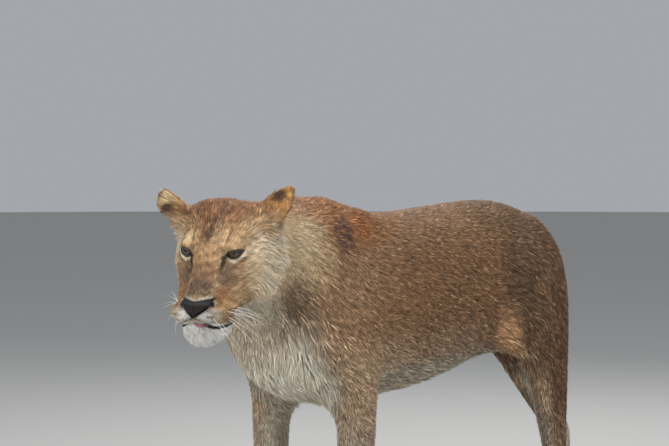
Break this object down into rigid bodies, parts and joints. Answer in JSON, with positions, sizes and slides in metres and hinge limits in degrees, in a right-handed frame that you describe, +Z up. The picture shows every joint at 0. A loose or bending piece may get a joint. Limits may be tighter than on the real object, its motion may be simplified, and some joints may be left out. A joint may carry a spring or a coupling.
{
  "type": "lioness",
  "caption": "Life-size lioness standing on all fours, head low and turned to her left, mouth slightly open, tail hanging.",
  "frame": {"origin": "on the floor, under the middle of the whole animal's bounding box", "axes": "+X the way her chest faces, +Y her left, +Z up"},
  "size_m": [1.7732, 0.5632, 0.9885],
  "materials": {
    "coat": "short rufous fur",
    "pale": "short cream fur",
    "dark": "long dark brown fur",
    "eye": "wet amber-brown",
    "nose": "bare grey-black skin",
    "tongue": "wet pink"
  },
  "bodies": {
    "root": {"ear_left": "coat", "ear_right": "coat", "eye_left": "eye", "eye_right": "eye", "foreleg_left": "coat", "foreleg_right": "coat", "head": "coat", "hindleg_left": "coat", "hindleg_right": "coat", "jaw": "pale", "neck": "coat", "nose": "nose", "paw_front_left": "pale", "paw_front_right": "pale", "paw_hind_left": "pale", "paw_hind_right": "pale", "tail": "coat", "tail_tuft": "dark", "tongue": "tongue", "trunk": "coat"}
  },
  "joints": []
}
